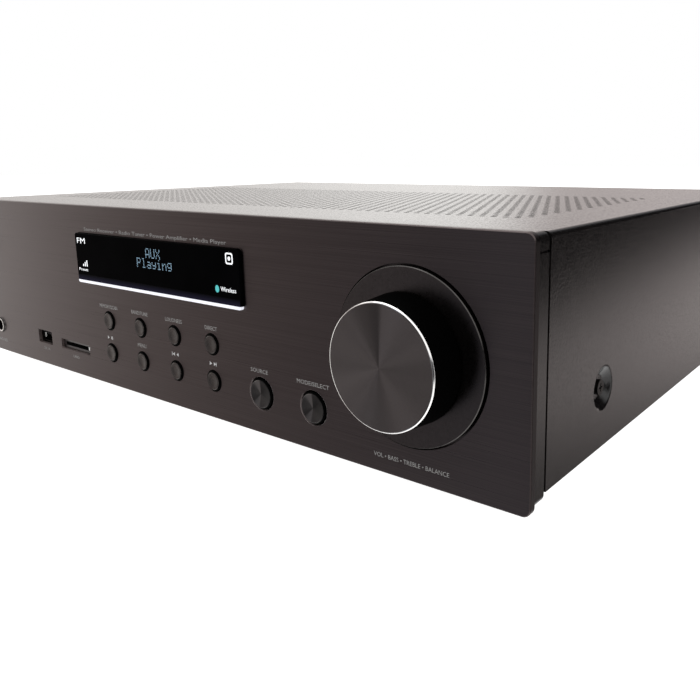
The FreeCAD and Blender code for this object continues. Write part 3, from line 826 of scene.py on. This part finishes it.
# Turned profiles: (radius, depth behind the plate's face) in millimetres.
KEY_FACE = ((0, -0.75), (1.4, -0.79), (2.7, -0.9), (3.6, -1.0), (3.95, -0.98), (4.2, -0.8), (4.2, -0.3), (0, -0.3))
KEY_SLEEVE = ((0, -0.3), (4.2, -0.3), (4.2, -0.8), (5.0, -0.1), (5.0, 3.3), (6.4, 3.3), (6.4, 4.3), (2.0, 4.3),
              (2.0, 12.2), (0, 12.2))
SELECTOR_FACE = ((0, -0.42), (2.0, -0.47), (4.0, -0.61), (6.1, -0.9), (6.4, -0.7), (6.4, -0.2), (0, -0.2))
SELECTOR_SLEEVE = ((0, -0.2), (6.4, -0.2), (6.4, -0.7), (7.0, 0.0), (7.0, 3.3), (8.6, 3.3), (8.6, 4.5), (3.0, 4.5),
                   (3.0, 12.2), (0, 12.2))
SELECTOR_BEVEL = ((7.87, -0.01), (7.41, 0.45), (7.46, 0.5), (7.92, 0.04), (7.87, -0.01))
HEADPHONE_RING = ((4.6, 3.0), (4.6, -0.6), (4.3, -0.85), (3.6, -0.85), (3.3, -0.5), (3.3, 3.0), (4.6, 3.0))
PHONO_WASHER = ((4.75, 0), (6.4, 0), (6.4, 0.5), (4.75, 0.5), (4.75, 0))


def make_knob(finish):
    """Spun face, diamond-cut edge and black side, pushed on to the D shaft."""
    x, height = centre("volume_knob")
    low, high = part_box("volume_knob")
    front, back = depth_mm(low.y), depth_mm(high.y)
    base_r = (high.x - low.x) / 2 / MM
    edge_r = base_r - 1.2
    cut = 0.6
    inner_r = edge_r - cut
    face = [(0, front), (inner_r, front), (inner_r, front + cut), (0, front + cut)]
    ring = [(inner_r, front), (inner_r + 0.22, front + 0.07), (edge_r - 0.1, front + 0.36), (edge_r, front + cut),
            (inner_r, front + cut), (inner_r, front)]
    side = [(0, front + cut), (edge_r, front + cut), (base_r, back - 0.6), (base_r - 0.3, back), (22.5, back),
            (21.5, -13.4), (6.5, -13.4), (6.5, -2.2), (3.0, -2.2), (3.0, -13.2), (0, -13.2)]
    turned_parts("volume_knob", "knob", at(x, 0, height),
                 (("face", face, finish["spun_knob"]), ("bright_cut", ring, finish["bright_cut"]),
                  ("side", softened(side, 0.2), finish["knob_side"])), KNOB_SIDES)


def make_disc(finish):
    """The brown disc behind the knob, with a fine bevel round its edge."""
    x, height = centre("knob_escutcheon")
    front = box_mm("knob_escutcheon")[4]
    edge, bevel = 34.6, 0.3
    body = [(4.6, 4.2), (4.6, front), (edge - bevel, front), (edge - bevel, front + bevel), (edge, front + bevel),
            (edge, 3.0), (37.5, 3.0), (37.5, 4.2), (4.6, 4.2)]
    rim = [(edge - bevel, front), (edge, front + bevel), (edge - bevel, front + bevel), (edge - bevel, front)]
    turned_parts("knob_escutcheon", CABINET, at(x, 0, height),
                 (("plate", body, finish["disc_satin"]), ("rim", rim, finish["faint_cut"])), KNOB_SIDES)


def make_keys(finish):
    """Small round keys: a metal face, barely dished, set in a black sleeve."""
    for node in key_nodes():
        x, height = centre(node)
        turned_parts(node, node + "_body", at(x, 0, height),
                     (("face", KEY_FACE, finish["key_metal"]), ("sleeve", KEY_SLEEVE, finish["knob_side"])),
                     KEY_SIDES)


def make_selectors(finish):
    """Larger spun buttons, each in a bevelled hole of the plate."""
    for node in SELECTORS:
        x, height = centre(node)
        place = at(x, 0, height)
        turned_parts(node, node + "_body", place,
                     (("face", SELECTOR_FACE, finish["spun_button"]),
                      ("sleeve", SELECTOR_SLEEVE, finish["knob_side"])), SELECTOR_SIDES)
        piece(node + "_bevel", lathe(node + "_bevel", place, SELECTOR_BEVEL, SELECTOR_SIDES), CABINET,
              finish["ring_cut"])


USB_MOUTH = (-122.25, -106.15, 13.1, 21.2)  # the plate's openings: left, right, bottom, top
CARD_MOUTH = (-95.0, -63.8, 13.5, 19.2)
MOUTH_WALL = 0.12
SHELL_WALL = 0.35
SOCKET_BACK, SOCKET_FLOOR = 16.9, 15  # depths of a socket's rear face and of its pocket
CONTACTS = 4
CONTACT_HALF_W = 0.55


def make_sockets(finish):
    """The USB and card sockets seen through the plate, and the ring of the headphone socket."""
    mesh = pocket("usb_shell_case", box_outline("usb_shell", 0, 0.6), box_outline("usb_shell", SHELL_WALL, 0.4), 3.2,
                  SOCKET_BACK, SOCKET_FLOOR)
    piece("usb_shell_case", mesh, CABINET, finish["dark_nickel"], ["usb_shell"])
    x0, x1, h0 = box_mm("usb_tongue")[:3]
    piece("usb_tongue_bar", slab("usb_tongue_bar", box_outline("usb_tongue", 0, 0.3), 4.0, 14.9, 0.25), CABINET,
          finish["black_plastic"], ["usb_tongue"])
    middles = [x0 + (x1 - x0) * (number + 0.5) / CONTACTS for number in range(CONTACTS)]
    prisms("usb_contacts", [rectangle(x - CONTACT_HALF_W, x + CONTACT_HALF_W, h0 - 0.06, h0 + 0.04) for x in middles],
           4.5, 12, finish["brass"])
    # a small white tile: a painted highlight inside the socket, left of the tongue
    prisms("usb_painted_glint", [rectangle(x0 - 1.5, x0 - 1.2, h0 - 2.0, h0 + 1.0)], 3.4, 4.1, finish["white_plastic"])
    for name, (x0, x1, h0, h1), depth in (("usb_mouth", USB_MOUTH, 1.9), ("card_mouth", CARD_MOUTH, 1.5)):
        inner = rounded_outline(x0 + MOUTH_WALL, x1 - MOUTH_WALL, h0 + MOUTH_WALL, h1 - MOUTH_WALL, 0.5)
        mesh = sleeve(name, rounded_outline(x0, x1, h0, h1, 0.6), inner, 0.2, depth)
        piece(name, mesh, CABINET, finish["mouth_wall"])
    x0, x1 = box_mm("card_slot")[:2]
    mesh = pocket("card_slot_case", box_outline("card_slot", 0, 0.5),
                  rounded_outline(x0 + 2.2, x1 - 2.2, 15.2, 17.6, 0.3), 1.6, SOCKET_BACK, SOCKET_FLOOR)
    piece("card_slot_case", mesh, CABINET, finish["socket_grey"], ["card_slot"])
    prisms("card_spring", [rectangle(x1 - 3.9, x1 - 2.4, 15.4, 17.3)], 1.7, 2.6, finish["white_plastic"])
    x, height = centre("headphone_jack")
    piece("headphone_ring", lathe("headphone_ring", at(x, 0, height), HEADPHONE_RING, KEY_SIDES), CABINET,
          finish["nickel"])


# ---- prints and display ----
# Each glyph is seven rows of a 5-dot-wide character, top row first.
GLYPHS = {
    "A": (".###.", "#...#", "#...#", "#...#", "#####", "#...#", "#...#"),
    "U": ("#...#", "#...#", "#...#", "#...#", "#...#", "#...#", ".###."),
    "X": ("#...#", "#...#", ".#.#.", "..#..", ".#.#.", "#...#", "#...#"),
    "P": ("####.", "#...#", "#...#", "####.", "#....", "#....", "#...."),
    "l": (".##..", "..#..", "..#..", "..#..", "..#..", "..#..", ".###."),
    "a": (".....", ".....", ".###.", "....#", ".####", "#...#", ".####"),
    "y": (".....", ".....", "#...#", "#...#", ".####", "....#", ".###."),
    "i": ("..#..", ".....", ".##..", "..#..", "..#..", "..#..", ".###."),
    "n": (".....", ".....", "#.##.", "##..#", "#...#", "#...#", "#...#"),
    "g": (".....", ".####", "#...#", "#...#", ".####", "....#", ".###."),
}
DOT_PITCH = 0.71
DOT_SIZE = 0.42
BAR_TALL = 1.55  # height of the lit strip along the window's lower edge
BAND_TALL = 3.2  # height of the painted blue glow above it
WINDOW_CORNER, BAR_CORNER, SLACK = 1.4, 1.2, 0.01
INK = 0.04  # how far a printed mark stands out of its face
SINK = 0.01  # how far it reaches into the face
CAP_HEIGHT = 0.682  # of the built-in typeface at size one
WORD_HALF = 0.5  # the words are made this far either way, then flattened
WORD_WELD = 1e-6


def dot_text(text, middle_x, top_h):
    """Outlines of one line of dot-matrix text, in small square dots."""
    advance = 6 * DOT_PITCH
    left = middle_x - (len(text) * advance - DOT_PITCH) / 2
    outlines = []
    for index, letter in enumerate(text):
        for row, dots in enumerate(GLYPHS[letter]):
            for column, dot in enumerate(dots):
                if dot == "#":
                    x = left + index * advance + column * DOT_PITCH
                    h = top_h - row * DOT_PITCH
                    outlines.append(rectangle(x, x + DOT_SIZE, h - DOT_SIZE, h))
    return outlines


def printed_words(name, labels, face_depth, material, facing=-1):
    """Printed words on an upright face: (text, middle x, baseline height, width, cap height) each."""
    shape = bmesh.new()
    for text, middle_x, base_h, width, cap in labels:
        data = bpy.data.curves.new("words", "FONT")
        data.body = text
        data.extrude = WORD_HALF
        data.resolution_u = 2
        item = add_object("words", data)
        bpy.context.view_layer.update()
        mesh = bpy.data.meshes.new_from_object(item.evaluated_get(bpy.context.evaluated_depsgraph_get()))
        across = [v.co.x for v in mesh.vertices]
        left, stretch = min(across), width / (max(across) - min(across))
        for v in mesh.vertices:
            x = ((v.co.x - left) * stretch - width / 2) * -facing + middle_x
            depth = face_depth + facing * ((v.co.z + WORD_HALF) * (INK + SINK) - SINK)
            v.co = at(x, depth, base_h + v.co.y * cap / CAP_HEIGHT)
        shape.from_mesh(mesh)
        bpy.data.objects.remove(item)
        bpy.data.curves.remove(data)
        bpy.data.meshes.remove(mesh)
    bmesh.ops.remove_doubles(shape, verts=shape.verts, dist=WORD_WELD)
    piece(name, smooth_mesh(name, shape, FLAT_ANGLE), CABINET, material)


FRONT_WORDS = (
    ("Stereo Receiver • Radio Tuner • Power Amplifier • Media Player", 2.3, 84.7, 119.6, 1.9),
    ("MEMORY/SCAN", -40.1, 43.6, 17.0, 1.9), ("BAND/TUNE", -11.0, 43.6, 14.5, 1.9),
    ("LOUDNESS", 18.1, 43.6, 13.5, 1.9), ("DIRECT", 47.2, 43.6, 9.0, 1.9),
    ("MENU", -11.0, 26.4, 7.6, 1.9), ("SOURCE", 79.7, 28.6, 11.2, 1.8), ("MODE/SELECT", 112.9, 28.6, 18.8, 1.8),
    ("VOL • BASS • TREBLE • BALANCE", 163.6, 6.4, 36.0, 1.8), ("5V 1A", -113.5, 9.4, 7.0, 1.6),
    ("CARD", -79.8, 9.4, 7.2, 1.6), ("STANDBY", -172.0, 57.4, 14.0, 1.9), ("PHONES", -172.0, 6.4, 12.0, 1.9))
REAR_WORDS = (
    ("RIGHT", -80.0, 78.6, 9.0, 2.2), ("LEFT", -50.0, 78.6, 7.5, 2.2),
    ("LINE IN", 71.0, 76.4, 13.0, 2.4), ("LINE OUT", 107.0, 76.4, 16.0, 2.4), ("L", 49.6, 60.8, 1.4, 2.4),
    ("R", 49.6, 38.8, 1.7, 2.4), ("1", 62.0, 24.6, 0.9, 2.2), ("2", 80.0, 24.6, 1.4, 2.2), ("1", 98.0, 24.6, 0.9, 2.2),
    ("2", 116.0, 24.6, 1.4, 2.2), ("AERIAL", 170.0, 70.4, 12.0, 2.4), ("AC IN", -175.0, 30.6, 10.0, 2.4),
    ("POWER", -132.0, 30.6, 11.0, 2.4))
NOSE = 6  # from the washers' face to the block's rearmost point
TERMINAL_WORDS = (("+", -65.0, 61.0, 2.4, 2.4), ("-", -65.0, 36.8, 2.4, 2.4))


def key_icons():
    """Outlines of play and pause, previous and next, between the two rows of keys."""
    low_h, high_h = 26.4, 28.2
    middle_h = (low_h + high_h) / 2
    outlines = [((-43.4, low_h), (-41.7, middle_h), (-43.4, high_h))]
    outlines += [rectangle(x, x + 0.55, low_h, high_h) for x in (-40.0, -39.1)]
    for bar_x, tips, wide in ((15.1, (17.3, 20.3), 1.75), (49.5, (47.7, 44.7), -1.75)):
        outlines.append(rectangle(bar_x - 0.22, bar_x + 0.22, low_h, high_h))
        outlines += [((tip, low_h), (tip, high_h), (tip - wide, middle_h)) for tip in tips]
    return outlines


def make_prints(finish):
    """The plain wording and symbols on the front plate and the rear panel."""
    printed_words("front_wording", FRONT_WORDS, 0, finish["ink"])
    for name, words, node in (("rear_wording", REAR_WORDS, "rear_panel"),
                              ("terminal_marks", TERMINAL_WORDS, "speaker_terminal_plate")):
        printed_words(name, words, box_mm(node)[5], finish["ink_white"], 1)
    prisms("key_symbols", key_icons(), -INK, SINK, finish["ink_white"])
    block_face = box_mm("line_socket_block")[5] - NOSE
    for h, colour in ((62, "white_plastic"), (40, "red_plastic")):
        for x in (62, 80, 98, 116):
            name = "phono_washer_" + str(x) + "_" + str(h)
            mesh = lathe(name, at(x, block_face, h), softened(PHONO_WASHER, 0.15), WASHER_SIDES)
            piece(name, mesh, CABINET, finish[colour])


def make_display(finish):
    """The black window with its lit lower edge, dot-matrix text and small lit marks."""
    x0, x1, _, top, front, back = box_mm("display_window")
    bar_bottom = box_mm("display_light_bar")[2]
    bottom = bar_bottom + BAR_TALL
    face, inside = front - INK, front + SINK
    white, slot = finish["icon_white"], "display_acrylic"
    upper = [p for p in rounded_outline(x0, x1, bottom, top, WINDOW_CORNER) if p[1] > top - WINDOW_CORNER - SLACK]
    piece("display_glass", slab("display_glass", [(x1, bottom)] + upper + [(x0, bottom)], front, back, 0.25), CABINET,
          finish["acrylic"], ["display_window"])
    lower = [p for p in rounded_outline(x0, x1, bar_bottom, bottom + 2, BAR_CORNER)
             if p[1] < bar_bottom + BAR_CORNER + SLACK]
    piece("lit_bar", slab("lit_bar", lower + [(x1, bottom), (x0, bottom)], front, back, 0.15), CABINET,
          finish["light_guide"], ["display_light_bar"])
    # a dark band above the lit bar, carrying the painted glow
    prisms("display_band", [rectangle(x0 + 0.3, x1 - 0.3, bottom + 0.02, bottom + BAND_TALL)], front - 0.02, inside,
           finish["bar_glow"])
    prisms("display_text", dot_text("AUX", 7.7, top - 4.2) + dot_text("Playing", 8.2, top - 9.4), face, inside,
           finish["segment"])
    printed_words("display_words", (("FM", -58.6, 77.9, 8.0, 3.0), ("Preset", -58.4, 62.9, 9.0, 1.6),
                                    ("Wireless", 63.9, 63.7, 10.6, 2.1)), front, white)
    signal_bars = [rectangle(-58.6 + number * 1.8, -57.7 + number * 1.8, 65.5, 66.7 + number * 1.1)
                   for number in range(3)]
    prisms("signal_mark", signal_bars, face, inside, white)
    mesh = sleeve("square_mark", rounded_outline(63.1, 68.1, 76.4, 81.6, 1.1),
                  rounded_outline(63.8, 67.4, 77.1, 80.9, 0.6), face, inside)
    piece("square_mark", mesh, CABINET, white)
    prisms("square_mark_dot", [oval(65.6, 79.0, 0.9, 0.95)], face, inside, white)
    prisms("wireless_mark", [oval(56.1, 64.5, 1.35, 1.7)], face, inside, finish["icon_teal"])


# ---- assembly ----
def main():
    make_camera()
    finish = make_materials()
    paint_nodes(finish)
    make_stage()
    make_light()
    make_cover(finish)
    make_feet(finish)
    make_knob(finish)
    make_disc(finish)
    make_keys(finish)
    make_selectors(finish)
    make_sockets(finish)
    make_display(finish)
    make_prints(finish)


main()
